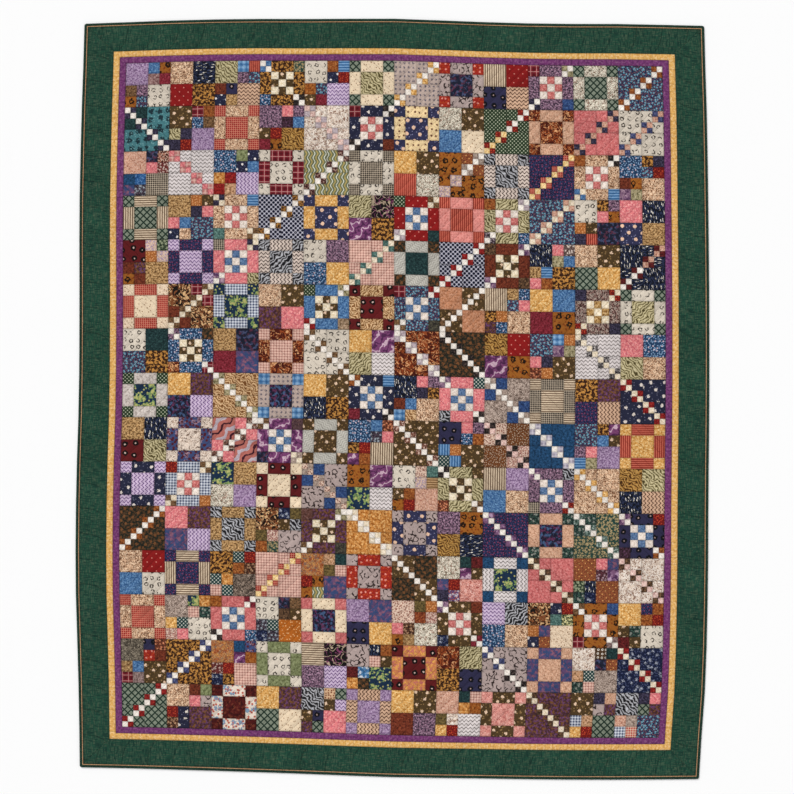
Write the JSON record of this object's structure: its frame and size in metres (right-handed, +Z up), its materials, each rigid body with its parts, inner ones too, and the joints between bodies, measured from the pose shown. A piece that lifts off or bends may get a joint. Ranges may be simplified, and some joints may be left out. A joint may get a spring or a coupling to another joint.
{
  "type": "patchwork quilt",
  "caption": "Bed quilt laid flat: pieced patchwork centre inside purple, gold and dark green borders, with a thin tan flange and a dark green folded binding.",
  "frame": {"origin": "centre of the flat underside's bounding box, on the surface the quilt lies on", "axes": "+Z up through the quilt, +Y along its length towards the head end, +X across it to the right as seen from above with the head end away"},
  "size_m": [2.1458, 2.576, 0.0062],
  "materials": {
    "centre": "cotton prints pieced in blocks, matt, hand or machine quilted",
    "purple": "plain purple cotton, matt",
    "gold": "mottled gold cotton, matt",
    "green": "dark green shot-woven cotton with rust flecks, matt",
    "flange": "plain tan cotton, matt",
    "binding": "dark green woven cotton, matt"
  },
  "bodies": {
    "root": {"patchwork_centre": "centre", "purple_left": "purple", "purple_right": "purple", "purple_foot": "purple", "purple_head": "purple", "gold_left": "gold", "gold_right": "gold", "gold_foot": "gold", "gold_head": "gold", "green_left": "green", "green_right": "green", "green_foot": "green", "green_head": "green", "flange_left": "flange", "flange_right": "flange", "flange_foot": "flange", "flange_head": "flange", "binding_left": "binding", "binding_right": "binding", "binding_foot": "binding", "binding_head": "binding"}
  },
  "joints": []
}
